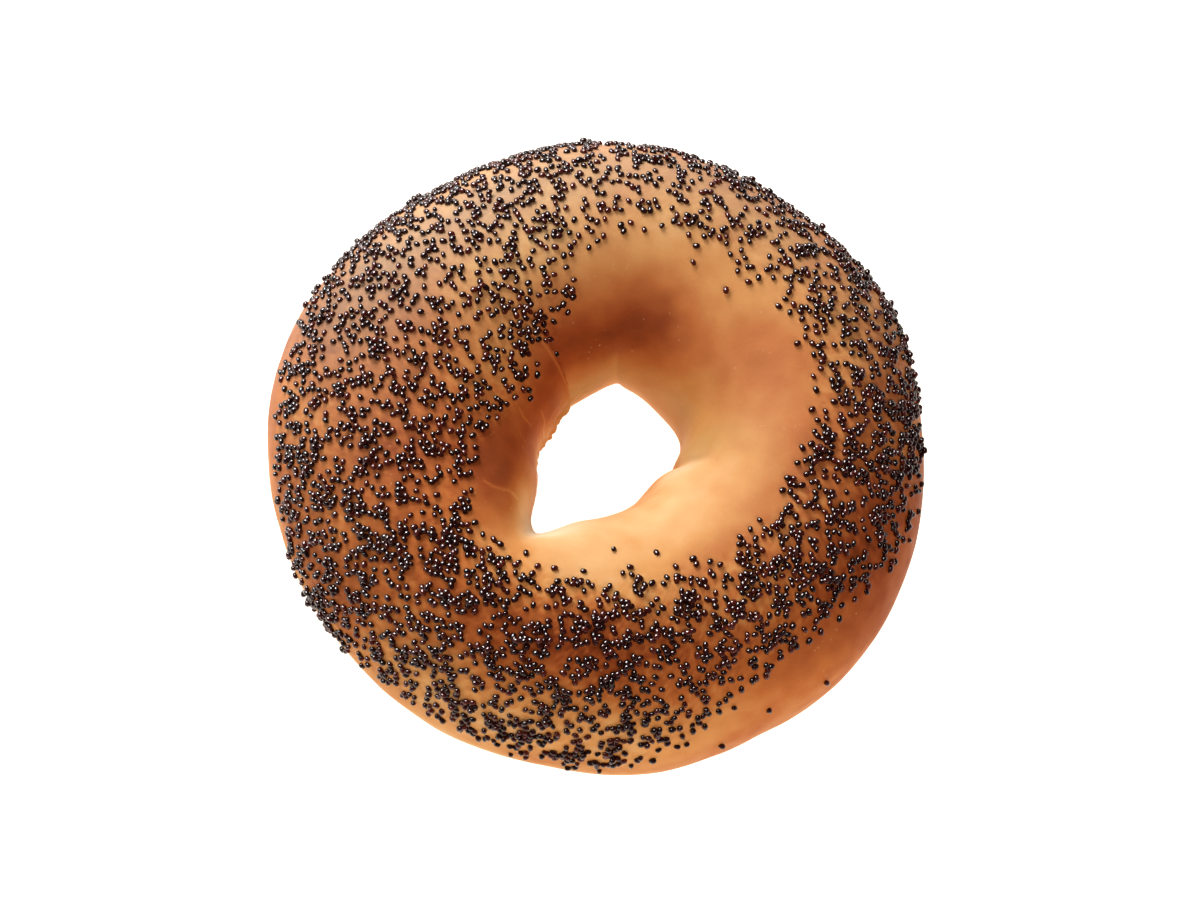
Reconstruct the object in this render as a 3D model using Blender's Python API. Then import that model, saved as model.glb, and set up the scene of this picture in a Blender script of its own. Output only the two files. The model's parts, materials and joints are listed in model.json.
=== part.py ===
"""Poppy seed bagel, one uneven ring of baked dough with its seeds fused on.

Metres, +Z up. The bagel lies on its flat base at z = 0, with the middle of its
bounding box over the origin. Seen from above, azimuth 0 is +X and runs
anticlockwise. A place on the dough is given by two angles: azimuth, round the
ring, and around, round the dough's own section, with 0 at the outer side, 90 at
the crown, 180 at the waist of the hole and 270 under the base.
"""
import math

import bmesh
import bpy
import numpy as np
from mathutils import Matrix, Vector

MM = 0.001

# Ring of dough: reach of its outer side and of its hole from the axis
OUTER_REACH = 54.9 * MM
HOLE_REACH = 10.2 * MM
CROWN_HEIGHT = 37.0 * MM
WAIST_HEIGHT = 15.5 * MM

# Lobes of the outline, the hole and the crown: azimuth, amount, half width
OUTER_LOBES = (
    (30, 0.6 * MM, 15), (122, -2.7 * MM, 22), (175, 0.5 * MM, 16),
    (230, -0.3 * MM, 16), (325, 0.4 * MM, 16),
)
HOLE_LOBES = (
    (18, 4.2 * MM, 30), (68, 4.2 * MM, 28), (158, -1.5 * MM, 22),
    (236, 4.4 * MM, 12), (243, 4.6 * MM, 34), (290, 0.8 * MM, 22),
)
CROWN_LOBES = ((60, -0.8 * MM, 40), (150, 0.5 * MM, 35), (250, 0.6 * MM, 45))

# Underside: how square its corners are, and how far it would reach below
# the base if the base didn't cut it flat
UNDERSIDE_SQUARENESS = 2.6
UNDERSIDE_REACH = 1.06

# Overlap of the rolled dough, which runs down the wall of the hole: its lip
# rises over one length of azimuth, and the pocket beside it over another
SEAM_AZIMUTH = 134
SEAM_LEAN = -8
SEAM_STEP = 1.6 * MM
SEAM_AROUND = (112, 200)
LIP_LENGTH = 26
POCKET_LENGTH = 12
POCKET_SHARE = 0.7

# Angle over which the seam and the creases rise from the smooth crust
RELIEF_FADE = 25

# Creases of the wall: azimuth and around at both ends, depth, half width
CREASES = (
    ((237, 114), (237, 200), 1.0 * MM, 9),
    ((338, 125), (346, 200), 0.9 * MM, 9),
    ((88, 140), (76, 205), 0.8 * MM, 8),
)

# Resolution of the dough's mesh
COLUMNS = 64
ROWS = 24

# Poppy seeds: the share of a seed's height that is sunk in the crust, and
# how the gap between them shrinks from wide to least as the crust fills up
SEED_COUNT = 250
SEED_LENGTH = 1.25 * MM
SEED_WIDTH = 1.0 * MM
SEED_HEIGHT = 0.95 * MM
SEED_SUNK = 0.35
WIDEST_GAP = 9.0 * MM
LEAST_GAP = 3.0 * MM
GAP_SHRINK = 0.95
MISSES_TO_SHRINK = 400
RANDOM_SEED = 7

# Seeded band: around angle of its inner and outer edge, with their lobes,
# and the range that holds it all
SEEDED_AROUND = (-10.0, 150.0)
INNER_EDGE = 95
INNER_EDGE_LOBES = ((156, 44, 42), (20, -4, 25))
OUTER_EDGE = 2
OUTER_EDGE_LOBES = ((60, 10, 40), (170, 20, 26), (310, 43, 38), (5, 18, 24))

CRUST_COLOUR = (0.50, 0.23, 0.08, 1.0)
SEED_COLOUR = (0.020, 0.014, 0.016, 1.0)


def clear_scene():
    """Remove every object that the file starts with."""
    for item in list(bpy.data.objects):
        bpy.data.objects.remove(item, do_unlink=True)


def principled(name, colour, roughness):
    """Make a plain material of one colour."""
    material = bpy.data.materials.new(name)
    material.use_nodes = True
    shader = material.node_tree.nodes["Principled BSDF"]
    shader.inputs["Base Color"].default_value = colour
    shader.inputs["Roughness"].default_value = roughness
    shader.inputs["Metallic"].default_value = 0.0
    material.diffuse_color = colour
    return material


def bell(azimuth, centre, half_width):
    """A bump of height 1 at centre that wraps round the ring, in degrees."""
    away = (azimuth - centre + 180.0) % 360.0 - 180.0
    return np.exp(-(away / half_width) ** 2)


def with_lobes(base, lobes, azimuth):
    """A base value plus each lobe's amount times its bell."""
    total = np.full_like(azimuth, base)
    for centre, amount, half_width in lobes:
        total = total + amount * bell(azimuth, centre, half_width)
    return total


def fade(value, start, end):
    """0 up to start, 1 from end on, and a smooth slope between."""
    t = np.clip((value - start) / (end - start), 0.0, 1.0)
    return t * t * (3.0 - 2.0 * t)


def seam(azimuth, around):
    """The dough's overlap: a steep step on one side, a long slope on the other."""
    start, end = SEAM_AROUND
    line = SEAM_AZIMUTH + SEAM_LEAN * fade(around, start, end)
    away = (azimuth - line + 180.0) % 360.0 - 180.0
    lip = np.where(away > 0.0, np.exp(-away / LIP_LENGTH), 0.0)
    pocket = np.where(away < 0.0, np.exp(away / POCKET_LENGTH), 0.0)
    along = fade(around, start, start + RELIEF_FADE)
    along = along * (1.0 - fade(around, end - RELIEF_FADE, end))
    return SEAM_STEP * along * (lip - POCKET_SHARE * pocket)


def creases(azimuth, around):
    """Shallow valleys, each along a line between two places on the wall."""
    total = np.zeros_like(azimuth)
    for (azimuth_a, around_a), (azimuth_b, around_b), depth, half_width in CREASES:
        along = np.clip((around - around_a) / (around_b - around_a), 0.0, 1.0)
        line = azimuth_a + (azimuth_b - azimuth_a) * along
        reach = fade(around, around_a, around_a + RELIEF_FADE)
        reach = reach * (1.0 - fade(around, around_b, around_b + RELIEF_FADE))
        total = total - depth * reach * bell(azimuth, line, half_width)
    return total


def dough_point(azimuth, around):
    """Points of the dough's surface, as an array with x, y and z last.

    The section at an azimuth is an arch above the waist and a squarer curve
    below it, cut flat at the base. Relief moves it along the section's
    outward direction.
    """
    azimuth = np.asarray(azimuth, float)
    around = np.asarray(around, float)
    outer = with_lobes(OUTER_REACH, OUTER_LOBES, azimuth)
    hole = with_lobes(HOLE_REACH, HOLE_LOBES, azimuth)
    crown = with_lobes(CROWN_HEIGHT, CROWN_LOBES, azimuth)
    cosine = np.cos(np.radians(around))
    sine = np.sin(np.radians(around))
    square = 2.0 / UNDERSIDE_SQUARENESS
    above = sine >= 0.0
    sideways = np.where(above, cosine, np.sign(cosine) * np.abs(cosine) ** square)
    arch = WAIST_HEIGHT + (crown - WAIST_HEIGHT) * sine
    sunk = WAIST_HEIGHT * (1.0 - UNDERSIDE_REACH * np.abs(sine) ** square)
    height = np.where(above, arch, sunk)
    relief = seam(azimuth, around) + creases(azimuth, around)
    reach = (outer + hole) / 2 + (outer - hole) / 2 * sideways + relief * cosine
    height = np.maximum(height + relief * np.maximum(sine, 0.0), 0.0)
    turn = np.radians(azimuth)
    return np.stack([reach * np.cos(turn), reach * np.sin(turn), height], axis=-1)


def flat_start():
    """The around angle, below the outer side, where the flat base begins."""
    sine = (1.0 / UNDERSIDE_REACH) ** (UNDERSIDE_SQUARENESS / 2.0)
    return -math.degrees(math.asin(sine))


def make_dough(material):
    """Grid of azimuth and around, closed both ways, with a flat base ring."""
    start = flat_start()
    azimuth = np.arange(COLUMNS) * 360.0 / COLUMNS
    around = np.linspace(start, 180.0 - start, ROWS)
    grid = dough_point(*np.meshgrid(azimuth, around, indexing="ij"))
    faces = []
    for i in range(COLUMNS):
        for j in range(ROWS):
            i_next = (i + 1) % COLUMNS
            j_next = (j + 1) % ROWS
            faces.append((i * ROWS + j, i_next * ROWS + j,
                          i_next * ROWS + j_next, i * ROWS + j_next))
    mesh = bpy.data.meshes.new("bagel")
    mesh.from_pydata(grid.reshape(-1, 3).tolist(), [], faces)
    mesh.materials.append(material)
    dough = bpy.data.objects.new("bagel", mesh)
    bpy.context.scene.collection.objects.link(dough)
    return dough


def in_seeded_band(azimuth, around):
    """True where the crust carries seeds."""
    inner = with_lobes(INNER_EDGE, INNER_EDGE_LOBES, azimuth)
    outer = with_lobes(OUTER_EDGE, OUTER_EDGE_LOBES, azimuth)
    return (around > outer) & (around < inner)


def seed_places():
    """Spread places and turns evenly over the seeded band, clear of each other.

    Places are drawn at random, fewer where the ring is narrow, and each is kept
    if it lies in the band and a gap away from those kept before it. The gap
    shrinks a little whenever many draws in a row have failed.
    """
    rng = np.random.default_rng(RANDOM_SEED)
    kept = []
    gap = WIDEST_GAP
    misses = 0
    while len(kept) < SEED_COUNT:
        azimuth, around = rng.uniform(0.0, 360.0), rng.uniform(*SEEDED_AROUND)
        point = dough_point(azimuth, around)
        width = math.hypot(point[0], point[1]) / OUTER_REACH
        wanted = in_seeded_band(np.array([azimuth]), np.array([around]))[0]
        near = any(np.linalg.norm(point - other) < gap for other, _ in kept)
        if not wanted or near or rng.uniform() > width:
            misses += 1
            if misses > MISSES_TO_SHRINK:
                gap = max(gap * GAP_SHRINK, LEAST_GAP)
                misses = 0
            continue
        kept.append((point, rng.uniform(0.0, 360.0)))
        misses = 0
    return kept


def make_seeds(dough, material, collection):
    """One small rounded body for each seed, half sunk in the nearest facet."""
    shape = bmesh.new()
    bmesh.ops.create_icosphere(shape, subdivisions=1, radius=0.5)
    size = Matrix.Diagonal((SEED_LENGTH, SEED_WIDTH, SEED_HEIGHT, 1.0))
    bmesh.ops.transform(shape, matrix=size, verts=shape.verts)
    for point, turn in seed_places():
        _, foot, normal, _ = dough.closest_point_on_mesh(Vector(point))
        tilt = normal.to_track_quat("Z", "Y").to_matrix().to_4x4()
        spin = Matrix.Rotation(math.radians(turn), 4, "Z")
        centre = foot + normal * SEED_HEIGHT * (0.5 - SEED_SUNK)
        mesh = bpy.data.meshes.new("seed")
        shape.to_mesh(mesh)
        mesh.transform(Matrix.Translation(centre) @ tilt @ spin)
        mesh.materials.append(material)
        collection.objects.link(bpy.data.objects.new("seed", mesh))
    shape.free()


def fuse(dough, collection):
    """Join the seeds to the dough by one union, and remove what it used."""
    union = dough.modifiers.new("seeds", "BOOLEAN")
    union.operation = "UNION"
    union.operand_type = "COLLECTION"
    union.collection = collection
    union.solver = "EXACT"
    union.material_mode = "TRANSFER"
    graph = bpy.context.evaluated_depsgraph_get()
    fused = bpy.data.meshes.new_from_object(dough.evaluated_get(graph))
    dough.modifiers.remove(union)
    dough.data = fused
    for item in list(collection.objects):
        bpy.data.objects.remove(item, do_unlink=True)
    bpy.data.collections.remove(collection)


def settle(dough):
    """Put the middle of the bounding box over the origin, and the base at 0."""
    count = len(dough.data.vertices)
    points = np.empty(count * 3)
    dough.data.vertices.foreach_get("co", points)
    points = points.reshape(-1, 3)
    low, high = points.min(axis=0), points.max(axis=0)
    middle = (low + high) / 2
    dough.data.transform(Matrix.Translation((-middle[0], -middle[1], -low[2])))
    dough.data.shade_smooth()
    dough.data.set_sharp_from_angle(angle=math.radians(40))


def main():
    clear_scene()
    crust = principled("baked crust", CRUST_COLOUR, 0.45)
    seed_coat = principled("poppy seed", SEED_COLOUR, 0.5)
    dough = make_dough(crust)
    dough.data.materials.append(seed_coat)
    seeds = bpy.data.collections.new("seeds")
    bpy.context.scene.collection.children.link(seeds)
    make_seeds(dough, seed_coat, seeds)
    fuse(dough, seeds)
    settle(dough)


main()
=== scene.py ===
# %% [markdown]
# # A poppy seed bagel
#
# A bagel is a rope of dough, rolled, joined into a ring, boiled for a moment
# and baked. Boiling sets a smooth tight skin, so the crust comes out satin and
# even, and the seeds that stick to the wet top bake into it. The solid model
# already holds the ring's form with a few coarse seeds. Here the ring gets its
# fine surface and its real crust, and all its seeds at true size.

# %% Load the frame
import json
import math

import bpy
import numpy as np
from mathutils import Matrix, Vector

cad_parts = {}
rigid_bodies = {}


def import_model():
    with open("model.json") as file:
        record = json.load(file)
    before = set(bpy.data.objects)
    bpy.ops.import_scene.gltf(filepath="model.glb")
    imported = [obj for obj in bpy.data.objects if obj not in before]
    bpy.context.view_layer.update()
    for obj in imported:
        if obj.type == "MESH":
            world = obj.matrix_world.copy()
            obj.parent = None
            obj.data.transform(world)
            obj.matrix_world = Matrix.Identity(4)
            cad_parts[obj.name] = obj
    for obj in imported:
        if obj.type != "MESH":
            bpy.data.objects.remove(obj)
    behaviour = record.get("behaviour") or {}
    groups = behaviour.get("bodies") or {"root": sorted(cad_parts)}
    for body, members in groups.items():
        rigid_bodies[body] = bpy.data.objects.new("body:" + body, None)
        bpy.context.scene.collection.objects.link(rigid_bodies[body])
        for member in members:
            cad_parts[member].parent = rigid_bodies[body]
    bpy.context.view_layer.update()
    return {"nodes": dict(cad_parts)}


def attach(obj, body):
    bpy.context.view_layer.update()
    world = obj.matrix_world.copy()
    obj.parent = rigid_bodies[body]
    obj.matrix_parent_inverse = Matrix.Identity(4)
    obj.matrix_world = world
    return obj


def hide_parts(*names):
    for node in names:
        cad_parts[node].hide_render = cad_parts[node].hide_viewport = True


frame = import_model()

MM = 0.001

# %% [markdown]
# ## Two angles name a place on the dough
#
# Every place on a ring is given by two angles, both in degrees here. Azimuth
# runs round the ring, anticlockwise from +X. Around runs round the dough's own
# section: 0 at the outer side, 90 at the crown, 180 at the waist of the hole
# and 270 under the base. A real ring is never a true circle, so its outline and
# its hole are a base reach plus a few bell-shaped lobes. I chose bells because
# one can be moved by hand without disturbing the rest of the outline, which a
# spline through many points wouldn't allow.

# %% Reach of the ring, with its lobes
# each lobe: azimuth of its middle, amount, half width in degrees
OUTER_REACH = 54.9 * MM
HOLE_REACH = 10.2 * MM
CROWN_HEIGHT = 37.0 * MM
WAIST_HEIGHT = 15.5 * MM

OUTER_LOBES = (
    (30, 0.6 * MM, 15), (122, -2.7 * MM, 22), (175, 0.5 * MM, 16),
    (230, -0.3 * MM, 16), (325, 0.4 * MM, 16),
)
HOLE_LOBES = (
    (18, 4.2 * MM, 30), (68, 4.2 * MM, 28), (158, -1.5 * MM, 22),
    (236, 4.4 * MM, 12), (243, 4.6 * MM, 34), (290, 0.8 * MM, 22),
)
CROWN_LOBES = ((60, -0.8 * MM, 40), (150, 0.5 * MM, 35), (250, 0.6 * MM, 45))


def apart(azimuth, centre):
    """Signed angle from centre to azimuth, from -180 to 180."""
    return (azimuth - centre + 180.0) % 360.0 - 180.0


def bell(away, half_width):
    """exp(-(away / half_width) squared): 1 in the middle, 0.37 at the half width."""
    return np.exp(-(away / half_width) ** 2)


def with_lobes(base, lobes, azimuth):
    """The base value plus the sum of amount times bell over the lobes."""
    total = np.full_like(azimuth, base)
    for centre, amount, half_width in lobes:
        total = total + amount * bell(apart(azimuth, centre), half_width)
    return total


def fade(value, start, end):
    """3t^2 - 2t^3 with t from 0 at start to 1 at end, held at both ends."""
    t = np.clip((value - start) / (end - start), 0.0, 1.0)
    return t * t * (3.0 - 2.0 * t)


compass = np.arange(0.0, 360.0)
print("hole, mm across:", np.round(2 * with_lobes(HOLE_REACH, HOLE_LOBES, compass).mean() / MM, 1))

# %% [markdown]
# ## The section of the dough
#
# Cut across, the dough is an arch above its waist and a squarer curve below,
# which the tray cuts flat. A half ellipse gives the arch. For the underside a
# superellipse is used, where cosine and sine are raised to a power below 1:
# that fills out the corners as dough does when it slumps on a tray.

# %% The ring before any relief
UNDERSIDE_SQUARENESS = 2.6
UNDERSIDE_REACH = 1.06


def ring(azimuth, around, relief):
    """Points of the dough, pushed out of its section by the relief.

    Reach from the axis is the middle of the dough plus half its width times
    cos(around); height is the waist plus the crown's rise times sin(around).
    Under the waist both use the superellipse, and the base stops at zero.
    """
    outer = with_lobes(OUTER_REACH, OUTER_LOBES, azimuth)
    hole = with_lobes(HOLE_REACH, HOLE_LOBES, azimuth)
    crown = with_lobes(CROWN_HEIGHT, CROWN_LOBES, azimuth)
    cosine = np.cos(np.radians(around))
    sine = np.sin(np.radians(around))
    square = 2.0 / UNDERSIDE_SQUARENESS
    above = sine >= 0.0
    sideways = np.where(above, cosine, np.sign(cosine) * np.abs(cosine) ** square)
    arch = WAIST_HEIGHT + (crown - WAIST_HEIGHT) * sine
    sunk = WAIST_HEIGHT * (1.0 - UNDERSIDE_REACH * np.abs(sine) ** square)
    reach = (outer + hole) / 2 + (outer - hole) / 2 * sideways + relief * cosine
    height = np.where(above, arch, sunk) + relief * np.maximum(sine, 0.0)
    turn = np.radians(azimuth)
    return np.stack([reach * np.cos(turn), reach * np.sin(turn),
                     np.maximum(height, 0.0)], axis=-1)


print("height of the bare ring at the back, mm:",
      round(float(ring(np.array([90.0]), np.array([90.0]), 0.0)[0, 2]) / MM, 1))

# %% [markdown]
# ## Where the rope of dough was joined
#
# The two ends of the rope overlap at the upper left of the hole. There the skin
# of one end lies over the other: it climbs slowly, ends in a sharp lip, and
# drops into a pocket that fills up again further on. The wall of the hole also
# has soft creases where it was squeezed. All of this is height added to the
# section, so it is worked out as one number, the relief, for each place.

# %% Seam and creases
SEAM_AZIMUTH = 134
SEAM_LEAN = -8
SEAM_STEP = 1.6 * MM
SEAM_AROUND = (112, 200)
LIP_LENGTH = 26
POCKET_LENGTH = 12
POCKET_SHARE = 0.7
RELIEF_FADE = 25

# each crease: azimuth and around of both its ends, depth, half width in degrees
CREASES = (
    ((237, 114), (237, 200), 1.0 * MM, 9),
    ((338, 125), (346, 200), 0.9 * MM, 9),
    ((88, 140), (76, 205), 0.8 * MM, 8),
)
FINE_CREASES = (
    ((339, 126), (345, 200), 0.50 * MM, 3.5),
    ((86, 145), (75, 200), 0.35 * MM, 3.0),
    ((238, 112), (238, 150), 0.30 * MM, 3.0),
)


def seam(azimuth, around):
    """exp(-away / length) on the lip's side, less a share of it on the pocket's."""
    start, end = SEAM_AROUND
    away = apart(azimuth, SEAM_AZIMUTH + SEAM_LEAN * fade(around, start, end))
    lip = np.where(away > 0.0, np.exp(-np.abs(away) / LIP_LENGTH), 0.0)
    pocket = np.where(away < 0.0, np.exp(-np.abs(away) / POCKET_LENGTH), 0.0)
    along = fade(around, start, start + RELIEF_FADE)
    along = along * (1.0 - fade(around, end - RELIEF_FADE, end))
    return SEAM_STEP * along * (lip - POCKET_SHARE * pocket)


def creases(azimuth, around, valleys):
    """A bell-shaped valley along the straight line between two places."""
    total = np.zeros_like(azimuth)
    for (azimuth_a, around_a), (azimuth_b, around_b), depth, half_width in valleys:
        along = np.clip((around - around_a) / (around_b - around_a), 0.0, 1.0)
        line = azimuth_a + (azimuth_b - azimuth_a) * along
        reach = fade(around, around_a, around_a + RELIEF_FADE)
        reach = reach * (1.0 - fade(around, around_b, around_b + RELIEF_FADE))
        total = total - depth * reach * bell(apart(azimuth, line), half_width)
    return total


lip_and_pocket = seam(SEAM_AZIMUTH + SEAM_LEAN / 2 + np.arange(-5.0, 6.0), np.full(11, 156.0))
print("lip and pocket across the seam, mm:", np.round(lip_and_pocket / MM, 1))

# %% [markdown]
# ## Fine lines in the skin
#
# The stretched skin has a few hair-fine lines: the bright edge of the lip, and
# short tears beside it where the skin split as it dried. Each is a chain of
# places joined by straight strokes. The distance of every point to the nearest
# stroke is measured on the unrolled skin, in metres, so a line keeps its width.

# %% Bright edge and short tears
# each line: azimuth and around of the places it joins
LINES = (
    ((136, 120), (136, 129), (135, 140), (133, 152), (128, 168)),
    ((214, 111), (217, 114), (220, 120), (221, 124), (225, 131)),
    ((168, 152), (171, 160), (177, 165), (176, 172)),
    ((177, 137), (181, 141), (183, 149)),
)
LINE_WIDTH = 0.17 * MM
LINE_SPREAD = 1.5
LINE_RISE = 0.06 * MM


def skin_lines(azimuth, around):
    """A bell over the distance to the nearest stroke, 1 on a line."""
    reach = with_lobes(HOLE_REACH, HOLE_LOBES, azimuth)
    nearest = np.full_like(azimuth, 1.0)
    for line in LINES:
        for start, end in zip(line[:-1], line[1:]):
            x = np.radians(apart(azimuth, start[0])) * reach * LINE_SPREAD
            y = np.radians(around - start[1]) * CROWN_HEIGHT / 2
            dx = math.radians(end[0] - start[0]) * reach * LINE_SPREAD
            dy = math.radians(end[1] - start[1]) * CROWN_HEIGHT / 2
            along = np.clip((x * dx + y * dy) / (dx * dx + dy * dy), 0.0, 1.0)
            nearest = np.minimum(nearest, np.hypot(x - along * dx, y - along * dy))
    return bell(nearest, LINE_WIDTH)


print("strokes in the skin:", sum(len(line) - 1 for line in LINES))

# %% [markdown]
# ## The hand in the dough
#
# Dough keeps the marks of the hand: shallow swells a few centimetres long, and
# smaller ones inside them. A noise made of plane waves gives both. Each wave
# runs in its own direction through space, so the field has no seam where the
# angles wrap round, which a noise drawn on the angles would have.

# %% Swells, and the ragged skin at the waist
SWELLS = ((34.0 * MM, 0.16 * MM), (12.0 * MM, 0.05 * MM), (4.0 * MM, 0.012 * MM))
WAVES = 24
RAG_DEPTH = 0.22 * MM
RAG_LENGTH = 1.9 * MM
RAG_PLACE = (168, 184)
RAG_SPREAD = (50, 14)
RAG_DRAW = 9


def swell(points, wavelength, draw):
    """The sum of cos(k . p + phase) over waves of one length, scaled to about 1.

    The draw is the number that the random directions and phases start from.
    """
    rng = np.random.default_rng(draw)
    aim = rng.normal(size=(WAVES, 3))
    aim = aim / np.linalg.norm(aim, axis=1, keepdims=True)
    pace = 2.0 * math.pi / wavelength * rng.uniform(0.7, 1.3, (WAVES, 1))
    phase = rng.uniform(0.0, 2.0 * math.pi, WAVES)
    return np.cos(points @ (aim * pace).T + phase).sum(axis=-1) / math.sqrt(WAVES / 2)


def crust(azimuth, around):
    """The finished surface: the ring, its seam and creases, and its swells."""
    azimuth, around = np.broadcast_arrays(np.asarray(azimuth, float), around)
    form = ring(azimuth, around, np.zeros_like(azimuth))
    relief = seam(azimuth, around) + creases(azimuth, around, CREASES + FINE_CREASES)
    for draw, (wavelength, depth) in enumerate(SWELLS):
        relief = relief + depth * swell(form, wavelength, draw)
    rag = bell(apart(azimuth, RAG_PLACE[0]), RAG_SPREAD[0])
    rag = rag * bell(around - RAG_PLACE[1], RAG_SPREAD[1])
    relief = relief + RAG_DEPTH * rag * swell(form, RAG_LENGTH, RAG_DRAW)
    relief = relief + LINE_RISE * skin_lines(azimuth, around)
    return ring(azimuth, around, relief)


print("the crown at the back, mm:", np.round(crust(90.0, 90.0) / MM, 1))

# %% [markdown]
# ## From a grid of points to a mesh
#
# The surface is a grid: columns round the ring, rows round the section, closed
# both ways, so it has no poles and no seams to sew. The rows stop at the rim of
# the flat base, and one last row of faces closes the base. The rows crowd
# together on the wall of the hole, where the fine lines are. About 190,000
# triangles hold every swell and line, and finer grain is left to the material.

# %% The dough as one closed mesh
COLUMNS = 440
ROWS = 216
FINE_ROWS = 2000
CROWDING = 1.8
CROWD_AROUND = 150
CROWD_SPREAD = 40


def smooth_mesh(name, points, faces):
    """A mesh object from an array of points and an array of corner numbers."""
    mesh = bpy.data.meshes.new(name)
    corners = faces.shape[1]
    mesh.vertices.add(len(points))
    mesh.vertices.foreach_set("co", points.astype(np.float32).ravel())
    mesh.loops.add(faces.size)
    mesh.loops.foreach_set("vertex_index", faces.astype(np.int32).ravel())
    mesh.polygons.add(len(faces))
    mesh.polygons.foreach_set("loop_start", np.arange(0, faces.size, corners, dtype=np.int32))
    mesh.update(calc_edges=True)
    mesh.validate()
    mesh.shade_smooth()
    piece = bpy.data.objects.new(name, mesh)
    bpy.context.scene.collection.objects.link(piece)
    return piece


base_sine = (1.0 / UNDERSIDE_REACH) ** (UNDERSIDE_SQUARENESS / 2.0)
base_rim = -math.degrees(math.asin(base_sine))
fine = np.linspace(base_rim, 180.0 - base_rim, FINE_ROWS)
crowd = np.cumsum(1.0 + CROWDING * bell(fine - CROWD_AROUND, CROWD_SPREAD))
crowd = (crowd - crowd[0]) / (crowd[-1] - crowd[0])
around_rows = np.interp(np.linspace(0.0, 1.0, ROWS), crowd, fine)
azimuth_grid, around_grid = np.meshgrid(
    np.arange(COLUMNS) * 360.0 / COLUMNS, around_rows, indexing="ij")
dough_points = crust(azimuth_grid, around_grid).reshape(-1, 3)

column, row = np.meshgrid(np.arange(COLUMNS), np.arange(ROWS), indexing="ij")
next_column, next_row = (column + 1) % COLUMNS, (row + 1) % ROWS
dough_faces = np.stack([column * ROWS + row, next_column * ROWS + row,
                        next_column * ROWS + next_row, column * ROWS + next_row],
                       axis=-1).reshape(-1, 4)

# %% [markdown]
# ## Lay it where the solid lies
#
# The solid was centred by its bounding box once its coarse seeds were on, so it
# sits a fraction of a millimetre off the ring's own axis. Its flat base has no
# seeds, so the two bases are laid over each other to find that small shift.

# %% The shift, read from the flat bases
BASE_SKIN = 0.01 * MM


def base_middle(points):
    """Middle of the bounding box of the points that lie on the ground."""
    base = points[points[:, 2] < points[:, 2].min() + BASE_SKIN]
    middle = (base.min(axis=0) + base.max(axis=0)) / 2
    return np.array([middle[0], middle[1], points[:, 2].min()])


solid = frame["nodes"]["bagel"].data
solid_points = np.empty(len(solid.vertices) * 3)
solid.vertices.foreach_get("co", solid_points)
shift = base_middle(solid_points.reshape(-1, 3)) - base_middle(dough_points)
dough = smooth_mesh("dough", dough_points + shift, dough_faces)
print("shift, mm:", np.round(shift / MM, 2), "faces:", len(dough_faces))

# %% [markdown]
# ## Where the seeds stick
#
# The wet ring is pressed top down in a tray of seeds, so they cover a band over
# the crown, thin out at its edges and leave the wall of the hole bare, except
# at the upper left where the dough leaned over. The band's two edges are
# angles round the section, with lobes over the azimuth, like the outline.

# %% The seeded band
INNER_EDGE = 95
INNER_EDGE_LOBES = ((122, 30, 18), (168, 44, 36), (239, 10, 9), (272, 4, 18), (20, -4, 25))
OUTER_EDGE = 2
OUTER_EDGE_LOBES = (
    (60, 10, 40), (170, 20, 26), (212, -16, 12), (272, -14, 14), (312, 44, 36), (5, 18, 24),
)
EDGE_SOFTNESS = 7
COVER = 0.53
# each spot, here and below: azimuth, around, half width, half height, amount
COVER_LOBES = (
    (345, 70, 45, 90, 0.25), (268, 70, 44, 26, 0.42), (205, 60, 40, 60, 0.14),
    (85, 70, 35, 80, -0.16), (36, 78, 18, 22, -0.12), (305, 60, 30, 30, 0.10),
    (288, 20, 13, 18, -0.50),
)
SEEDED_AROUND = (-30.0, 150.0)


def spots(lobes, azimuth, around):
    """The sum of amount times a bell over the azimuth times a bell over around."""
    total = np.zeros_like(azimuth)
    for at_azimuth, at_around, wide, high, amount in lobes:
        spot = bell(apart(azimuth, at_azimuth), wide) * bell(around - at_around, high)
        total = total + amount * spot
    return total


def seeded(azimuth, around):
    """Share of the crust that seeds cover, from soft edges and cover lobes."""
    inner = with_lobes(INNER_EDGE, INNER_EDGE_LOBES, azimuth)
    outer = with_lobes(OUTER_EDGE, OUTER_EDGE_LOBES, azimuth)
    band = fade(around, outer - EDGE_SOFTNESS, outer + EDGE_SOFTNESS)
    band = band * (1.0 - fade(around, inner - EDGE_SOFTNESS, inner + EDGE_SOFTNESS))
    return band * (COVER + spots(COVER_LOBES, azimuth, around))


print("share covered at the near crown:", np.round(seeded(np.array([270.0]), 70.0), 2))
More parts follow.
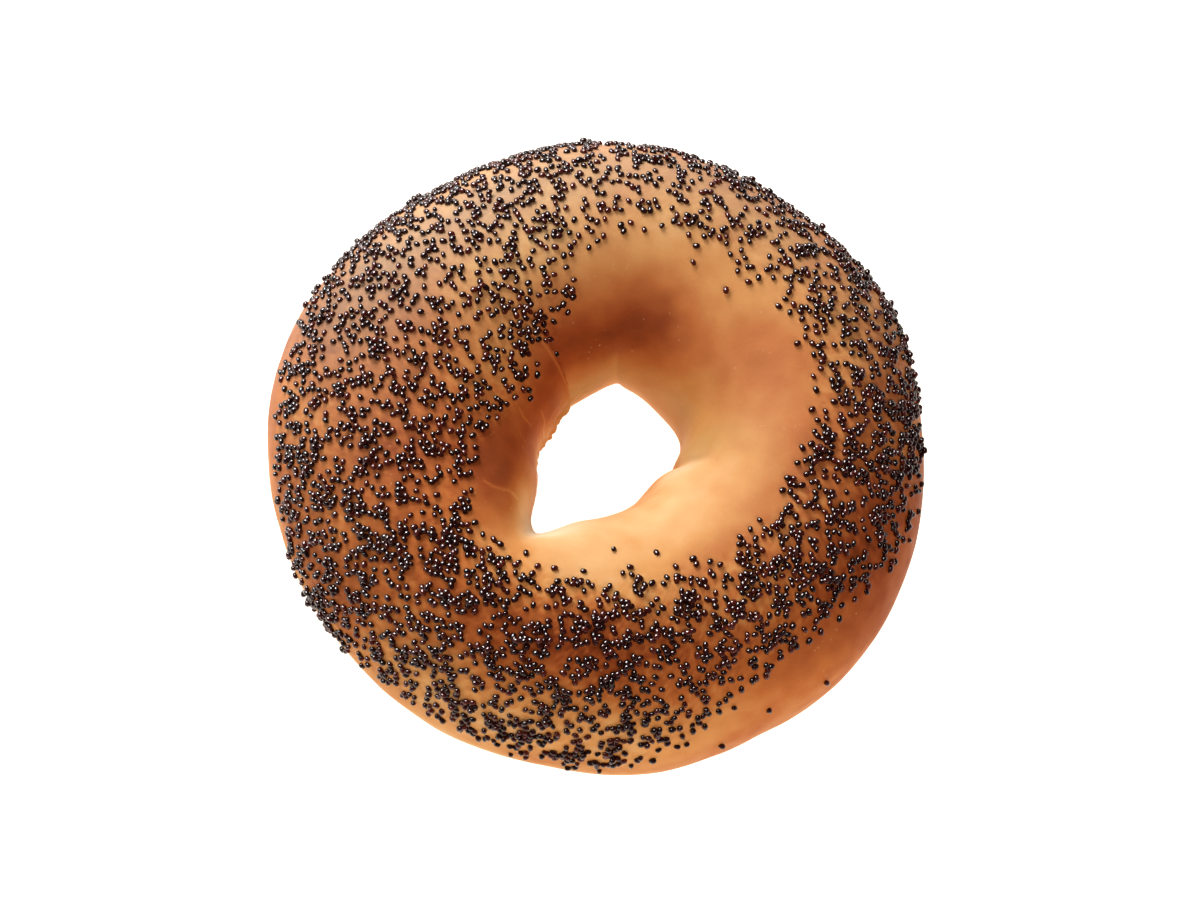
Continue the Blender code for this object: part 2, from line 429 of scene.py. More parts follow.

# %% [markdown]
# ## How far each place has baked, with painted shade, sheen and light
#
# A crust's colour is a matter of heat: where the oven's air reached it, it went
# from cream through gold and brown to chestnut, and where the dough was tucked
# away it stayed pale. So each point gets one number, its bake, from 0 for raw
# cream to 1 for chestnut, and the material turns that number into a colour. Some
# of its spots are painted shade and light: the far wall of the hole is browner
# and also darkened as painted shade, the back of the foot is darkened as painted
# shade and the right flank partly so, and the pale foot is partly painted light
# from the floor. A second number mixes a pale cool grey-green into the gold,
# most of it at the back left: a painted sheen of the light from behind. A third
# mixes a darker dull gold in low on the wall of the hole and in the crease at
# its right: painted shade. All are kept as attributes of the mesh, so they stay
# on the skin however it is moved.

# %% The bake with its painted shade, the painted sheen and the painted shade of every point
GOLDEN = 0.57
PALE_WAIST = (-0.24, 197, 26)
# the pale foot is less baked, and partly painted light of the floor's bounce
PALE_FOOT = (-0.32, -20, 20)
PALE_LINE = -0.14
BAKE_AND_SHADE_LOBES = (
    # crown, near side and right flank; the right flank is darker partly as painted shade
    (203, 84, 38, 42, 0.17), (256, 74, 26, 18, 0.10), (270, 64, 34, 18, 0.14),
    (300, 72, 16, 14, -0.10), (300, 96, 18, 12, 0.12), (336, 42, 36, 36, 0.27),
    (0, 44, 22, 22, -0.10), (118, 93, 22, 14, -0.13), (140, 100, 34, 14, -0.08),
    # back and left flank
    (114, 40, 54, 38, 0.10), (120, 44, 22, 30, -0.12), (122, 60, 22, 10, 0.07),
    (156, 42, 17, 20, 0.20), (180, 36, 18, 22, -0.07), (178, 12, 24, 16, 0.08),
    (212, 26, 18, 22, 0.26), (212, 54, 18, 18, -0.11),
    # foot and lower flank; the dark lobe at the back of the foot is painted shade against the
    # strong light the lamps throw there
    (112, -16, 66, 26, 0.46), (254, 20, 52, 24, -0.25), (262, -10, 50, 14, 0.12),
    (306, 0, 50, 24, 0.08),
    # far and left wall of the hole, the darkest: browner, and darkened as painted shade where it
    # faces away from the key light
    (92, 147, 55, 20, 0.30), (160, 150, 34, 18, 0.20), (203, 134, 28, 22, 0.20),
    (216, 119, 22, 17, 0.24), (173, 118, 18, 18, -0.12), (150, 118, 14, 12, -0.10),
    # near wall of the hole and its corner, the palest
    (275, 140, 62, 36, -0.34), (256, 99, 40, 18, -0.20), (234, 140, 20, 22, -0.33),
    (197, 171, 30, 10, -0.26),
    # right wall of the hole
    (338, 153, 20, 14, -0.30), (328, 126, 24, 24, -0.08), (4, 112, 20, 24, 0.08),
    (32, 112, 20, 16, 0.12), (34, 166, 34, 22, -0.20), (60, 96, 52, 34, -0.18),
    (66, 138, 22, 18, 0.12),
)
# painted sheen: a pale cool grey-green where the light from behind gives a broad sheen; the low
# lobe at the back greys the foot against the lamps' strong light there
PAINTED_SHEEN_LOBES = (
    (124, 60, 52, 40, 0.40),
    (58, 56, 42, 34, 0.20),
    (152, 44, 22, 20, 0.07),
    (124, 8, 60, 26, 0.16),
    (335, 120, 80, 34, 0.12),
)
# painted shade: a darker dull gold low on the far wall of the hole and in the crease at the right
# of the hole
PAINTED_SHADE_LOBES = (
    (106, 177, 54, 15, 0.90),
    (352, 148, 14, 24, 0.60),
    (15, 165, 26, 26, 0.45),
)
CLOUDS = ((16.0 * MM, 0.025), (5.0 * MM, 0.015))
CLOUD_DRAW = 20
SCUFFS = ((2.0 * MM, 0.05), (1.0 * MM, 0.04))
SCUFF_DRAW = 30


def bake_and_shade(azimuth, around, points):
    """The golden base, plus its spots, a pale waist and foot, lines and clouds.

    Scuffs are clouds of a millimetre or two that only the seeded crust has.
    """
    total = GOLDEN + spots(BAKE_AND_SHADE_LOBES, azimuth, around)
    for amount, at_around, high in (PALE_WAIST, PALE_FOOT):
        total = total + amount * bell(around - at_around, high)
    total = total + PALE_LINE * skin_lines(azimuth, around)
    for draw, (wavelength, amount) in enumerate(CLOUDS, CLOUD_DRAW):
        total = total + amount * swell(points, wavelength, draw)
    for draw, (wavelength, amount) in enumerate(SCUFFS, SCUFF_DRAW):
        total = total + amount * seeded(azimuth, around) * swell(points, wavelength, draw)
    return total


def keep_number(piece, name, values):
    """Store one number for each vertex as an attribute of the mesh."""
    store = piece.data.attributes.new(name, "FLOAT", "POINT")
    store.data.foreach_set("value", values.astype(np.float32))
    print(name, "from", round(float(values.min()), 2), "to", round(float(values.max()), 2))


flat_azimuth, flat_around = azimuth_grid.ravel(), around_grid.ravel()
keep_number(dough, "bake_and_shade", bake_and_shade(flat_azimuth, flat_around, dough_points))
keep_number(dough, "painted_sheen", spots(PAINTED_SHEEN_LOBES, flat_azimuth, flat_around))
keep_number(dough, "painted_shade", spots(PAINTED_SHADE_LOBES, flat_azimuth, flat_around))

# %% [markdown]
# ## Two helpers for materials
#
# Colours are picked as sRGB hex values, as a paint chart gives them, but a
# shader works in linear light, so one function converts them. The other adds a
# node with its settings and links, which keeps each material readable.


# %% Hex colours and nodes
def linear(hex_colour):
    """Linear RGBA of an sRGB hex colour, by the standard's two-part curve."""
    srgb = np.array([int(hex_colour[i:i + 2], 16) / 255.0 for i in (1, 3, 5)])
    light = np.where(srgb <= 0.04045, srgb / 12.92, ((srgb + 0.055) / 1.055) ** 2.4)
    return (*light, 1.0)


def add(material, kind, settings=None, **inputs):
    """Add a node with its properties set and its inputs filled.

    An input is a value or a socket, and _6 stands for the input with number 6.
    """
    tree = material.node_tree
    node = tree.nodes.new("ShaderNode" + kind)
    for name, value in (settings or {}).items():
        setattr(node, name, value)
    for name, value in inputs.items():
        socket = node.inputs[int(name[1:]) if name[1:].isdigit() else name.replace("_", " ")]
        if isinstance(value, bpy.types.NodeSocket):
            tree.links.new(value, socket)
        else:
            socket.default_value = value
    return node


def new_material(name):
    """A material with an output node and nothing else."""
    material = bpy.data.materials.new(name)
    material.use_nodes = True
    material.node_tree.nodes.clear()
    return material, add(material, "OutputMaterial")


print("mid grey in linear light:", round(float(linear("#808080")[0]), 3))

# %% [markdown]
# ## Boiled and baked crust
#
# Boiling gelatinises the starch of the skin, and baking browns it: the result is
# thin and tight, a dry egg-shell satin that shows hardly any highlight, so the
# reflection of the shader is turned almost off. Up close the skin is covered in
# blisters well under a millimetre wide and has a few dry flecks of paler starch.
# Three noises on object coordinates make this: clouds some millimetres wide
# that shift the bake, blisters for the bump, and flecks. The bake comes first:
# a colour ramp turns it into the browns that a crust goes through.

# %% Crust colour from the bake
CRUST_STOPS = (
    (0.00, "#EFDABA"), (0.20, "#E9BF8A"), (0.40, "#D9995A"),
    (0.60, "#BE6E38"), (0.80, "#964822"), (1.00, "#5E2812"),
)
CLOUD_SIZE = 3.0 * MM
CLOUD_BAKE = 0.03

crust_material, output = new_material("boiled and baked crust")
place = add(crust_material, "TexCoord").outputs["Object"]
baked_and_shaded = add(crust_material, "Attribute", {"attribute_name": "bake_and_shade"})
clouds = add(crust_material, "TexNoise", Vector=place, Scale=1.0 / CLOUD_SIZE,
             Detail=4.0, Roughness=0.6)
clouded = add(crust_material, "MapRange", Value=clouds.outputs["Fac"], From_Min=0.25,
              From_Max=0.75, To_Min=-CLOUD_BAKE, To_Max=CLOUD_BAKE)
heat = add(crust_material, "Math", {"operation": "ADD"},
           _0=baked_and_shaded.outputs["Fac"], _1=clouded.outputs["Result"])
browned = add(crust_material, "ValToRGB", Fac=heat.outputs["Value"])
stops = browned.color_ramp.elements
while len(stops) < len(CRUST_STOPS):
    stops.new(1.0)
for stop, (position, colour) in zip(stops, CRUST_STOPS):
    stop.position = position
    stop.color = linear(colour)
print("browns on the ramp:", len(stops))

# %% [markdown]
# Where shade or sheen is painted, the brown gives way to another colour: a darker
# dull gold for the painted shade and a pale cool grey-green for the painted sheen,
# each mixed in by the number kept on the mesh. The flecks are the middles of
# Voronoi cells, and a wider noise lets them through in a few patches.

# %% Painted shade, painted sheen and flecks
# colour of the painted shade
SHADE_GOLD = "#B48A4C"
# colour of the painted sheen
PAINTED_SHEEN_COLOUR = "#B2BEA8"
DRY_STARCH = "#E9C391"
FLECK_SIZE = 1.1 * MM
FLECK_EDGE = (0.10, 0.22)
PATCH_SIZE = 4.0 * FLECK_SIZE
PATCH_EDGE = (0.56, 0.72)
FLECK_SHARE = 0.35

painted_shade = add(crust_material, "Attribute", {"attribute_name": "painted_shade"})
with_painted_shade = add(crust_material, "Mix", {"data_type": "RGBA"}, _0=painted_shade.outputs["Fac"],
             _6=browned.outputs["Color"], _7=linear(SHADE_GOLD))
painted_sheen = add(crust_material, "Attribute", {"attribute_name": "painted_sheen"})
with_painted_sheen = add(crust_material, "Mix", {"data_type": "RGBA"}, _0=painted_sheen.outputs["Fac"],
              _6=with_painted_shade.outputs[2], _7=linear(PAINTED_SHEEN_COLOUR))

specks = add(crust_material, "TexVoronoi", Vector=place, Scale=1.0 / FLECK_SIZE)
patches = add(crust_material, "TexNoise", Vector=place, Scale=1.0 / PATCH_SIZE)
speck_mask = add(crust_material, "MapRange", Value=specks.outputs["Distance"],
                 From_Min=FLECK_EDGE[0], From_Max=FLECK_EDGE[1], To_Min=1.0, To_Max=0.0)
patch_mask = add(crust_material, "MapRange", Value=patches.outputs["Fac"],
                 From_Min=PATCH_EDGE[0], From_Max=PATCH_EDGE[1], To_Min=0.0,
                 To_Max=FLECK_SHARE)
flecks = add(crust_material, "Math", {"operation": "MULTIPLY"},
             _0=speck_mask.outputs["Result"], _1=patch_mask.outputs["Result"])
skin = add(crust_material, "Mix", {"data_type": "RGBA"}, _0=flecks.outputs["Value"],
           _6=with_painted_sheen.outputs[2], _7=linear(DRY_STARCH))

# %% [markdown]
# The blisters are too small to model, so they are a bump in the shading alone.
# The clouds also vary how rough the skin is, as it dried unevenly.

# %% Blisters and the satin of the skin
BLISTER_SIZE = 0.7 * MM
BLISTER_DEPTH = 0.12 * MM
BLISTER_STRENGTH = 0.35
SKIN_ROUGHNESS = (0.44, 0.54)
SKIN_IOR = 1.45
SKIN_GLOSS = 0.03

blisters = add(crust_material, "TexNoise", Vector=place, Scale=1.0 / BLISTER_SIZE,
               Detail=3.0, Roughness=0.55)
grain = add(crust_material, "Bump", Strength=BLISTER_STRENGTH, Distance=BLISTER_DEPTH,
            Height=blisters.outputs["Fac"])
sheen = add(crust_material, "MapRange", Value=clouds.outputs["Fac"],
            From_Min=0.3, From_Max=0.7, To_Min=SKIN_ROUGHNESS[0], To_Max=SKIN_ROUGHNESS[1])
crust_shader = add(crust_material, "BsdfPrincipled", Base_Color=skin.outputs[2],
                   Roughness=sheen.outputs["Result"], Normal=grain.outputs["Normal"],
                   IOR=SKIN_IOR, Specular_IOR_Level=SKIN_GLOSS)
crust_material.node_tree.links.new(crust_shader.outputs["BSDF"], output.inputs["Surface"])
dough.data.materials.append(crust_material)
print("crust nodes:", len(crust_material.node_tree.nodes))

# %% [markdown]
# ## Clumps
#
# Seeds don't fall like rain. They stick in tight clumps of two to ten, with
# loners in the gaps, and yet the band looks even from afar. Pure chance would
# leave bald spots, so the middles of the clumps stand on a honeycomb bent round
# the ring, each pushed off its cell by chance. How many seeds a clump gets
# follows from the share of crust to cover, times a number drawn from a gamma
# curve, which gives many small clumps and a few large ones. At the back left the
# clumps are looser and more alike, so both are eased there by one lobe.

# %% Middles and sizes of the clumps
SEED_LENGTH = 1.26 * MM
SEED_WIDTH = 0.88
SEED_HEIGHT = 0.80
CLUMP_GAP = 2.4 * MM
PLACE_JITTER = 0.28
CLUMP_LIKENESS = 1.8
LARGEST_CLUMP = 10
LOOSE_LOBES = ((130, 62, 52, 60, 0.18),)
EVENNESS = 7
SCATTER_DRAW = 5

rng = np.random.default_rng(SCATTER_DRAW)
section = (OUTER_REACH - HOLE_REACH) / 2


def bent_honeycomb(gap):
    """Azimuth, around and reach of honeycomb cells bent round the ring.

    Rows run round the ring, gap times the root of 3/4 apart. Each has as many
    cells as fit its circle, every other one is shifted by half a cell, and
    normal noise pushes each place off its cell.
    """
    row_step = math.degrees(math.sqrt(0.75) * gap / section)
    rows = np.arange(SEEDED_AROUND[0], SEEDED_AROUND[1], row_step)
    row_reach = OUTER_REACH - section + section * np.cos(np.radians(rows))
    in_row = (2.0 * math.pi * row_reach / gap).astype(int)
    own_row = np.repeat(np.arange(len(rows)), in_row)
    in_order = np.arange(len(own_row)) - np.repeat(np.cumsum(in_row) - in_row, in_row)
    pushed = rng.normal(0.0, PLACE_JITTER, (2, len(own_row)))
    azimuth = (in_order + 0.5 * (own_row % 2) + pushed[0]) * 360.0 / in_row[own_row]
    return azimuth, rows[own_row] + row_step * pushed[1], row_reach[own_row]


clump_azimuth, clump_around, clump_reach = bent_honeycomb(CLUMP_GAP)
seed_area = math.pi / 4 * SEED_LENGTH ** 2 * SEED_WIDTH
cell_area = math.sqrt(0.75) * CLUMP_GAP ** 2
wanted = seeded(clump_azimuth, clump_around) * cell_area / seed_area
loose = 1.0 + spots(LOOSE_LOBES, clump_azimuth, clump_around)
likeness = CLUMP_LIKENESS * loose ** EVENNESS
size = wanted * rng.gamma(likeness, 1.0 / likeness)
size = np.minimum(np.floor(size + rng.uniform(size=len(size))), LARGEST_CLUMP).astype(int)
print("clumps:", (size > 0).sum(), "seeds in them:", size.sum())

# %% [markdown]
# Inside a clump the seeds lie in the cells of a small honeycomb of one seed's
# pitch. They fill it from the middle, in an order that is shuffled and stretched
# one way, so that no two clumps are alike. In the large ones a seed or two lies
# on top of the others.

# %% Seeds in their clumps
PITCH = 0.80 * SEED_LENGTH
SHUFFLE = 0.8
CHAIN = (1.0, 1.3)
NUDGE = 0.10 * MM
PILED_FROM = 5
CELL_RINGS = 4


def honeycomb(rings):
    """Cell centres of a honeycomb of unit pitch, nearest to the middle first."""
    a, b = np.meshgrid(np.arange(-rings, rings + 1), np.arange(-rings, rings + 1))
    cells = np.stack([a + 0.5 * b, math.sqrt(0.75) * b], axis=-1).reshape(-1, 2)
    return cells[np.argsort(np.linalg.norm(cells, axis=1), kind="stable")]


cells = honeycomb(CELL_RINGS)
stretch = rng.uniform(*CHAIN, (len(size), 1))
far = np.hypot(cells[:, 0], cells[:, 1] * stretch)
order = np.argsort(far + rng.uniform(0.0, SHUFFLE, far.shape))[:, :LARGEST_CLUMP]
piled = (size >= PILED_FROM)[:, None] & (np.arange(LARGEST_CLUMP) < size[:, None] // PILED_FROM)
offset = cells[order] * PITCH * loose[:, None, None]
offset = np.concatenate([offset, offset + cells[1] * PITCH / 2], axis=1)
offset = offset + rng.normal(0.0, NUDGE, offset.shape)
taken = np.concatenate([np.arange(LARGEST_CLUMP) < size[:, None], piled], axis=1)
on_top = np.concatenate([np.zeros_like(piled), piled], axis=1)

spin = rng.uniform(0.0, 2.0 * math.pi, (len(size), 1))
along = offset[..., 0] * np.cos(spin) - offset[..., 1] * np.sin(spin)
across = offset[..., 0] * np.sin(spin) + offset[..., 1] * np.cos(spin)
seed_azimuth = (clump_azimuth[:, None] + np.degrees(along / clump_reach[:, None]))[taken]
seed_around = (clump_around[:, None] + np.degrees(across / section))[taken]
seed_on_top = on_top[taken]
print("largest clump:", size.max(), "lone or in pairs:", (size[size > 0] <= 2).sum())

# %% [markdown]
# Loners come last. They stand on a finer honeycomb, and only where no clump is
# near, so they fill the gaps. A few strays have rolled off the band, and they
# are listed one by one. Where two seeds would share a place, the later one goes.

# %% Loners, strays, and the seeds that stay
LONER_GAP = 1.5 * MM
LONER_SHARE = 0.9
LONER_CLEAR = 1.20 * MM
# each stray: azimuth and around
STRAYS = (
    (64, 106), (50, 108), (269, 116), (274, 105), (284, 110), (280, 38), (281, 33),
    (285, 25), (287, 32), (290, 32), (293, 31), (291, 6), (300, 18), (312, 14),
)
CLEAR = 0.72 * MM
UPPER_LAYER = 5.0 * MM
BLOCK = 500


def thin(points, clear):
    """True for each point with no earlier point closer than its own clear."""
    keep = np.ones(len(points), bool)
    number = np.arange(len(points))
    for start in range(0, len(points), BLOCK):
        block = number[start:start + BLOCK]
        gap = np.linalg.norm(points[block, None] - points[None], axis=-1)
        crowded = (gap < clear[block, None]) & (number[None] < block[:, None])
        keep[block] = ~crowded.any(axis=1)
    return keep


dice = rng.permutation(len(seed_azimuth))
stray_azimuth, stray_around = np.array(STRAYS, float).T
loner_azimuth, loner_around, _ = bent_honeycomb(LONER_GAP)
alone = rng.uniform(size=len(loner_azimuth)) < LONER_SHARE * seeded(loner_azimuth, loner_around)
loners = alone.sum()
seed_azimuth = np.concatenate([stray_azimuth, seed_azimuth[dice], loner_azimuth[alone]])
seed_around = np.concatenate([stray_around, seed_around[dice], loner_around[alone]])
seed_on_top = np.concatenate([np.zeros(len(STRAYS), bool), seed_on_top[dice],
                              np.zeros(loners, bool)])
clear = np.full(len(seed_azimuth), CLEAR)
clear[len(clear) - loners:] = LONER_CLEAR
seed_feet = crust(seed_azimuth, seed_around)
# seeds on top are moved away for the test, so that they crowd out no other
keep = seed_on_top | thin(seed_feet + UPPER_LAYER * seed_on_top[:, None], clear)
print("in clumps:", keep[:len(keep) - loners].sum(), "loners:", keep[len(keep) - loners:].sum())
keep = np.flatnonzero(keep)
seed_azimuth, seed_around, seed_on_top = seed_azimuth[keep], seed_around[keep], seed_on_top[keep]
seed_feet = seed_feet[keep]
print("seeds:", len(keep), "on top:", seed_on_top.sum())

# %% [markdown]
# ## The shape of a poppy seed
#
# A poppy seed is a small bean just over a millimetre long: an egg, bent a little
# along its length and flattened on one flank. There are thousands, so each has
# only 42 faces, and smooth shading rounds them off. One seed is worked out on a
# grid of two angles, then every copy is a turn, a stretch and a shift of it, all
# in one product of arrays.

# %% One seed
SEED_ROWS = 3
SEED_COLUMNS = 7
FLANK_DEPTH = 0.30
FLANK_LENGTH = 0.5
FLANK_FROM = 0.3
SEED_BEND = 0.16
SEED_STRETCH = np.array([1.0, SEED_WIDTH, SEED_HEIGHT]) * SEED_LENGTH / 2

polar = np.repeat(np.linspace(0.0, math.pi, SEED_ROWS + 2)[1:-1], SEED_COLUMNS)
turn_about = np.tile(np.arange(SEED_COLUMNS) * 2.0 * math.pi / SEED_COLUMNS, SEED_ROWS)
# a ball: cos(polar) along, sin(polar) times cosine and sine of the turn across
seed_shape = np.stack([np.cos(polar), np.sin(polar) * np.cos(turn_about),
                       np.sin(polar) * np.sin(turn_about)], axis=-1)
seed_shape = np.concatenate([seed_shape, [[1.0, 0.0, 0.0], [-1.0, 0.0, 0.0]]])
# one flank shrinks by a bell over the length, then a parabola bends the ball
flat = FLANK_DEPTH * bell(seed_shape[:, 0], FLANK_LENGTH) * (seed_shape[:, 1] > FLANK_FROM)
seed_shape[:, 1] = seed_shape[:, 1] * (1.0 - flat) - SEED_BEND * seed_shape[:, 0] ** 2
seed_shape = seed_shape * SEED_STRETCH

# quads between the rows, each cut in two, and a fan of triangles at both tips
row, column = np.meshgrid(np.arange(SEED_ROWS - 1), np.arange(SEED_COLUMNS), indexing="ij")
here, beside = row * SEED_COLUMNS + column, row * SEED_COLUMNS + (column + 1) % SEED_COLUMNS
below, corner = here + SEED_COLUMNS, beside + SEED_COLUMNS
sides = np.concatenate([np.stack([here, below, corner], axis=-1).reshape(-1, 3),
                        np.stack([here, corner, beside], axis=-1).reshape(-1, 3)])
rim = np.arange(SEED_COLUMNS)
rim_next = (rim + 1) % SEED_COLUMNS
last_row = (SEED_ROWS - 1) * SEED_COLUMNS
tip = np.full(SEED_COLUMNS, SEED_ROWS * SEED_COLUMNS)
caps = np.concatenate([np.stack([tip, rim, rim_next], axis=-1),
                       np.stack([tip + 1, last_row + rim_next, last_row + rim], axis=-1)])
seed_faces = np.concatenate([sides, caps])
print("triangles on a seed:", len(seed_faces))

# %% [markdown]
# Each copy lies on the skin, so it needs the skin's own directions there: the
# slopes along both angles span the tangent plane, and their cross product is
# the way out. A random turn, a slight lean and a roll make every seed lie
# differently, and about a quarter of it is sunk, because the dough rose
# around it in the oven.

# %% Lay every seed on the skin
SLOPE_STEP = 0.4
SUNK = (0.16, 0.34)
LEAN = 14
SIZES = (0.86, 1.12)
PILE_RISE = 0.62 * MM


def unit(vectors):
    """Vectors scaled to length one."""
    return vectors / np.linalg.norm(vectors, axis=-1, keepdims=True)


def turned(first, second, angle):
    """Both directions turned by an angle in the plane they span."""
    cosine, sine = np.cos(angle)[:, None], np.sin(angle)[:, None]
    return first * cosine + second * sine, second * cosine - first * sine


count = len(seed_feet)
east = unit(crust(seed_azimuth + SLOPE_STEP, seed_around)
            - crust(seed_azimuth - SLOPE_STEP, seed_around))
rise = crust(seed_azimuth, seed_around + SLOPE_STEP) - crust(seed_azimuth, seed_around - SLOPE_STEP)
out = unit(np.cross(east, rise))
side = np.cross(out, east)
long_way, side = turned(east, side, rng.uniform(0.0, 2.0 * math.pi, count))
long_way, up = turned(long_way, out, np.radians(rng.normal(0.0, LEAN, count)))
side, up = turned(side, up, rng.uniform(0.0, 2.0 * math.pi, count))
frames = np.stack([long_way, side, up], axis=1) * rng.uniform(*SIZES, (count, 1, 1))
lift = SEED_STRETCH[2] * (1.0 - 2.0 * rng.uniform(*SUNK, (count, 1)))
lift = lift + PILE_RISE * seed_on_top[:, None]
centres = seed_feet + shift + out * lift
seed_points = centres[:, None, :] + np.einsum("vk,nkj->nvj", seed_shape, frames)
all_faces = seed_faces[None] + (np.arange(count) * len(seed_shape))[:, None, None]
seeds = smooth_mesh("poppy_seeds", seed_points.reshape(-1, 3), all_faces.reshape(-1, 3))
keep_number(seeds, "tint", np.repeat(rng.uniform(size=count), len(seed_shape)))
print("triangles of all seeds:", len(seeds.data.polygons))

# %% [markdown]
# ## Poppy seed coat
#
# The coat is a thin dry shell, black with a dark red tint that is stronger on
# some seeds than on others, and it has a net of raised veins round shallow pits.
# At a millimetre the net can hardly be drawn, but it breaks up the one small
# glint that each seed gives. So a ramp sets the tint of each seed, a Voronoi
# bump and a little paler dust on the veins give the net, and the gloss is sharp.

# %% Seed material
SEED_STOPS = ((0.0, "#160101"), (0.45, "#260302"), (0.75, "#380905"), (1.0, "#54190F"))
VEIN_SIZE = 0.16 * MM
VEIN_EDGE = (0.2, 0.7)
VEIN_DUST = 0.04
DUST_COLOUR = "#5C3030"
PIT_DEPTH = 0.03 * MM
PIT_STRENGTH = 0.05
COAT_ROUGHNESS = 0.20
COAT_IOR = 1.5
COAT_GLOSS = 0.38

seed_material, output = new_material("dry poppy seed coat")
place = add(seed_material, "TexCoord").outputs["Object"]
tint = add(seed_material, "Attribute", {"attribute_name": "tint"})
coats = add(seed_material, "ValToRGB", Fac=tint.outputs["Fac"])
stops = coats.color_ramp.elements
while len(stops) < len(SEED_STOPS):
    stops.new(1.0)
for stop, (position, colour) in zip(stops, SEED_STOPS):
    stop.position = position
    stop.color = linear(colour)
veins = add(seed_material, "TexVoronoi", Vector=place, Scale=1.0 / VEIN_SIZE)
vein_mask = add(seed_material, "MapRange", Value=veins.outputs["Distance"],
                From_Min=VEIN_EDGE[0], From_Max=VEIN_EDGE[1], To_Min=0.0, To_Max=VEIN_DUST)
dust = add(seed_material, "Mix", {"data_type": "RGBA"}, _0=vein_mask.outputs["Result"],
           _6=coats.outputs["Color"], _7=linear(DUST_COLOUR))
pits = add(seed_material, "Bump", Strength=PIT_STRENGTH, Distance=PIT_DEPTH,
           Height=veins.outputs["Distance"])
seed_shader = add(seed_material, "BsdfPrincipled", Base_Color=dust.outputs[2],
                  Roughness=COAT_ROUGHNESS, Normal=pits.outputs["Normal"], IOR=COAT_IOR,
                  Specular_IOR_Level=COAT_GLOSS)
seed_material.node_tree.links.new(seed_shader.outputs["BSDF"], output.inputs["Surface"])
seeds.data.materials.append(seed_material)
print("seed nodes:", len(seed_material.node_tree.nodes))

# %% [markdown]
# ## One body
#
# Nothing on a bagel moves, so both pieces ride on the one body. Together they
# stand for the plain solid, which stays hidden as the collision shape.

# %% Ride, and hide the solid
for piece in (dough, seeds):
    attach(piece, "root")
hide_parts("bagel")
print("pieces on the body:", dough.name, "and", seeds.name)

# %% [markdown]
# ## A pale floor
#
# The floor stands in for a lit white table: so bright that it almost burns out,
# and it throws light back up under the ring, which is why the lower edges of
# the bagel look lighter than the band above them.

# %% Floor
FLOOR_SIZE = 3.0
FLOOR_DROP = 0.05 * MM
FLOOR_COLOUR = "#C8C8C8"
FLOOR_ROUGHNESS = 0.9
GLOW_COLOUR = "#FFFCF3"
GLOW_STRENGTH = 1.12

floor_mesh = bpy.data.meshes.new("floor")
half = FLOOR_SIZE / 2
floor_mesh.from_pydata([(-half, -half, -FLOOR_DROP), (half, -half, -FLOOR_DROP),
                        (half, half, -FLOOR_DROP), (-half, half, -FLOOR_DROP)],
                       [], [(0, 1, 2, 3)])
floor = bpy.data.objects.new("floor", floor_mesh)
bpy.context.scene.collection.objects.link(floor)
floor_material, output = new_material("matt white table")
floor_shader = add(floor_material, "BsdfPrincipled", Base_Color=linear(FLOOR_COLOUR),
                   Roughness=FLOOR_ROUGHNESS, Emission_Color=linear(GLOW_COLOUR),
                   Emission_Strength=GLOW_STRENGTH)
floor_material.node_tree.links.new(floor_shader.outputs["BSDF"], output.inputs["Surface"])
floor.data.materials.append(floor_material)
print("floor, metres across:", FLOOR_SIZE)

# %% [markdown]
# ## Light from behind
#
# The brightest crust is the upper left of the crown and the near wall of the
# hole, and the near side of the ring is the darkest: so the main light stands
# behind the bagel, a little to the left and less than half way up. A low one
# behind lifts the far edge, one at the left the left flank, and a weak warm one
# in front keeps the near side from going black. These three show in no gloss.
# The small white glint on each seed needs a far stronger lamp than the crust
# can take, so the glint lamp is linked to the seeds alone and counts only in
# their gloss. The sky is nearly off, since it would wash out the shadows.

# %% Lights
# each lamp: name, azimuth, elevation, size in metres, watts, colour
KEY = ("key", 120, 36, 0.30, 3.3, "#FFF8F0")
NOT_IN_GLOSS = (
    ("back", 108, 12, 0.30, 2.0, "#FFF8F0"),
    ("side", 172, 35, 0.30, 1.0, "#FFF8F0"),
    ("fill", 300, 42, 0.45, 1.9, "#FFE9D4"),
)
GLINT = ("glint", 144, 48, 0.34, 21.0, "#FFFFFF")
LAMP_DISTANCE = 0.60
SKY_STRENGTH = 0.10


def from_angles(azimuth, elevation):
    """Unit vector towards an azimuth and an elevation, in degrees."""
    turn, lift = math.radians(azimuth), math.radians(elevation)
    return np.array([math.cos(lift) * math.cos(turn), math.cos(lift) * math.sin(turn),
                     math.sin(lift)])


def look(back, up=(0.0, 1.0, 0.0)):
    """Rotation of a camera or light whose back points along a direction."""
    back = Vector(back).normalized()
    right = Vector(up).cross(back).normalized()
    return Matrix((right, back.cross(right), back)).transposed()


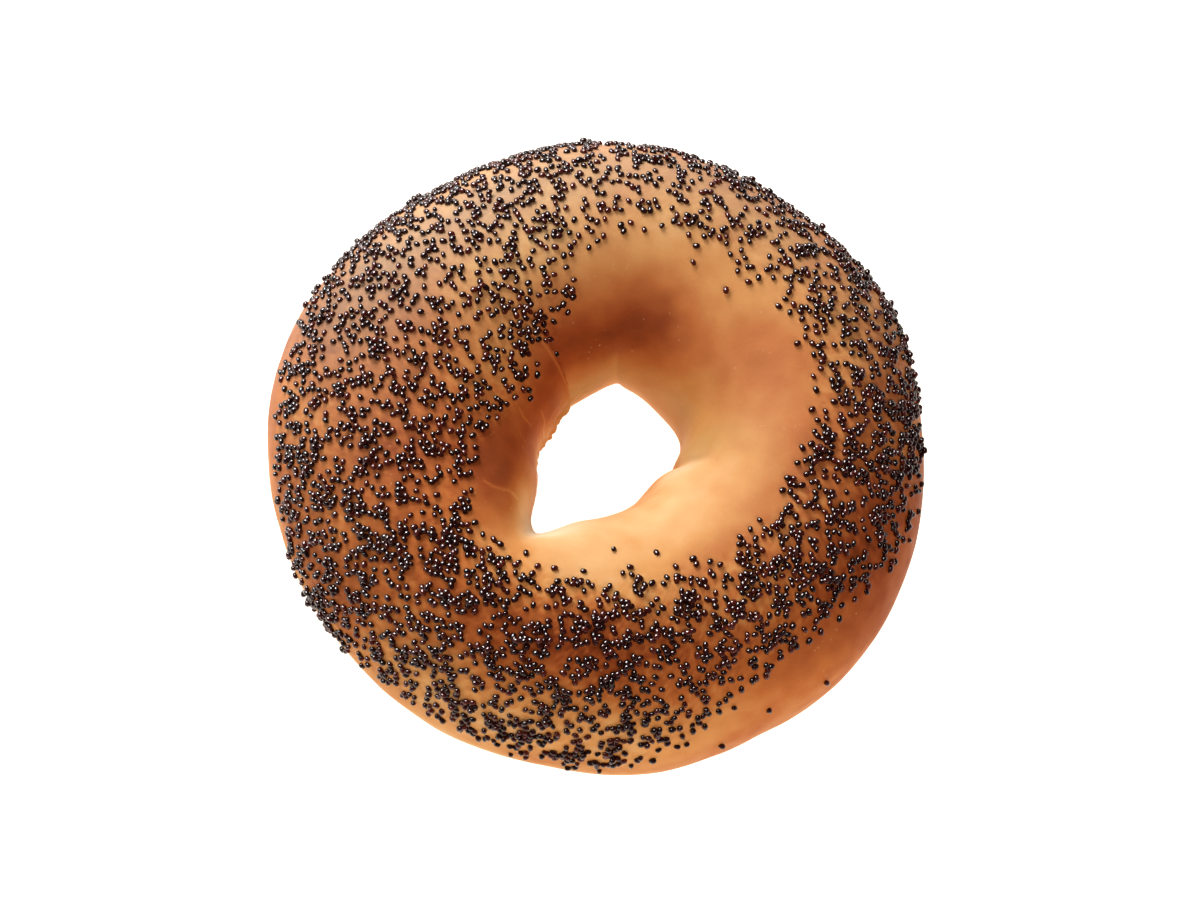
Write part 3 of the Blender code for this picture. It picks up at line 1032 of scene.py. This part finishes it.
def area_light(name, azimuth, elevation, size, power, colour):
    """A square soft light that looks at the middle of the bagel. Returns it."""
    lamp = bpy.data.lights.new(name, "AREA")
    lamp.size = size
    lamp.energy = power
    lamp.color = linear(colour)[:3]
    light = bpy.data.objects.new(name, lamp)
    aim = from_angles(azimuth, elevation)
    light.location = aim * LAMP_DISTANCE
    light.rotation_euler = look(aim).to_euler()
    bpy.context.scene.collection.objects.link(light)
    return light


area_light(*KEY)
for lamp in NOT_IN_GLOSS:
    area_light(*lamp).visible_glossy = False
glint = area_light(*GLINT)
glint.visible_diffuse = False
glossy = bpy.data.collections.new("what the glint lamp lights")
glossy.objects.link(seeds)
glint.light_linking.receiver_collection = glossy

world = bpy.data.worlds.new("white studio")
world.use_nodes = True
sky = world.node_tree.nodes["Background"]
sky.inputs["Color"].default_value = linear("#FFFFFF")
sky.inputs["Strength"].default_value = SKY_STRENGTH
bpy.context.scene.world = world
bpy.context.scene.view_settings.view_transform = "Standard"
print("lamps:", len(bpy.data.lights))

# %% [markdown]
# ## The camera
#
# The photo looks down on the bagel, tilted 22 degrees towards the near side and
# 8 to the left. Its scale is 6 pixels to the millimetre on a frame 1200 pixels
# wide, so the lens follows from the frame's width in millimetres and the
# distance: lens over sensor width is distance over frame width.

# %% Camera
TILT_TO_NEAR = 22
TILT_TO_LEFT = 8
DISTANCE = 0.7
PIXELS_PER_MM = 6.0
FRAME_PIXELS = 1200
SENSOR = 36.0
AIM_HEIGHT = 16.0 * MM

back = np.array([-math.tan(math.radians(TILT_TO_LEFT)),
                 -math.tan(math.radians(TILT_TO_NEAR)), 1.0])
back = back / np.linalg.norm(back)
camera_data = bpy.data.cameras.new("camera")
camera_data.sensor_width = SENSOR
camera_data.lens = SENSOR * DISTANCE / (FRAME_PIXELS / PIXELS_PER_MM * MM)
camera = bpy.data.objects.new("camera", camera_data)
target = np.array([0.0, 0.0, AIM_HEIGHT]) + shift
camera.location = target + back * DISTANCE
camera.rotation_euler = look(back).to_euler()
bpy.context.scene.collection.objects.link(camera)
bpy.context.scene.camera = camera
print("lens, mm:", round(camera_data.lens, 1))
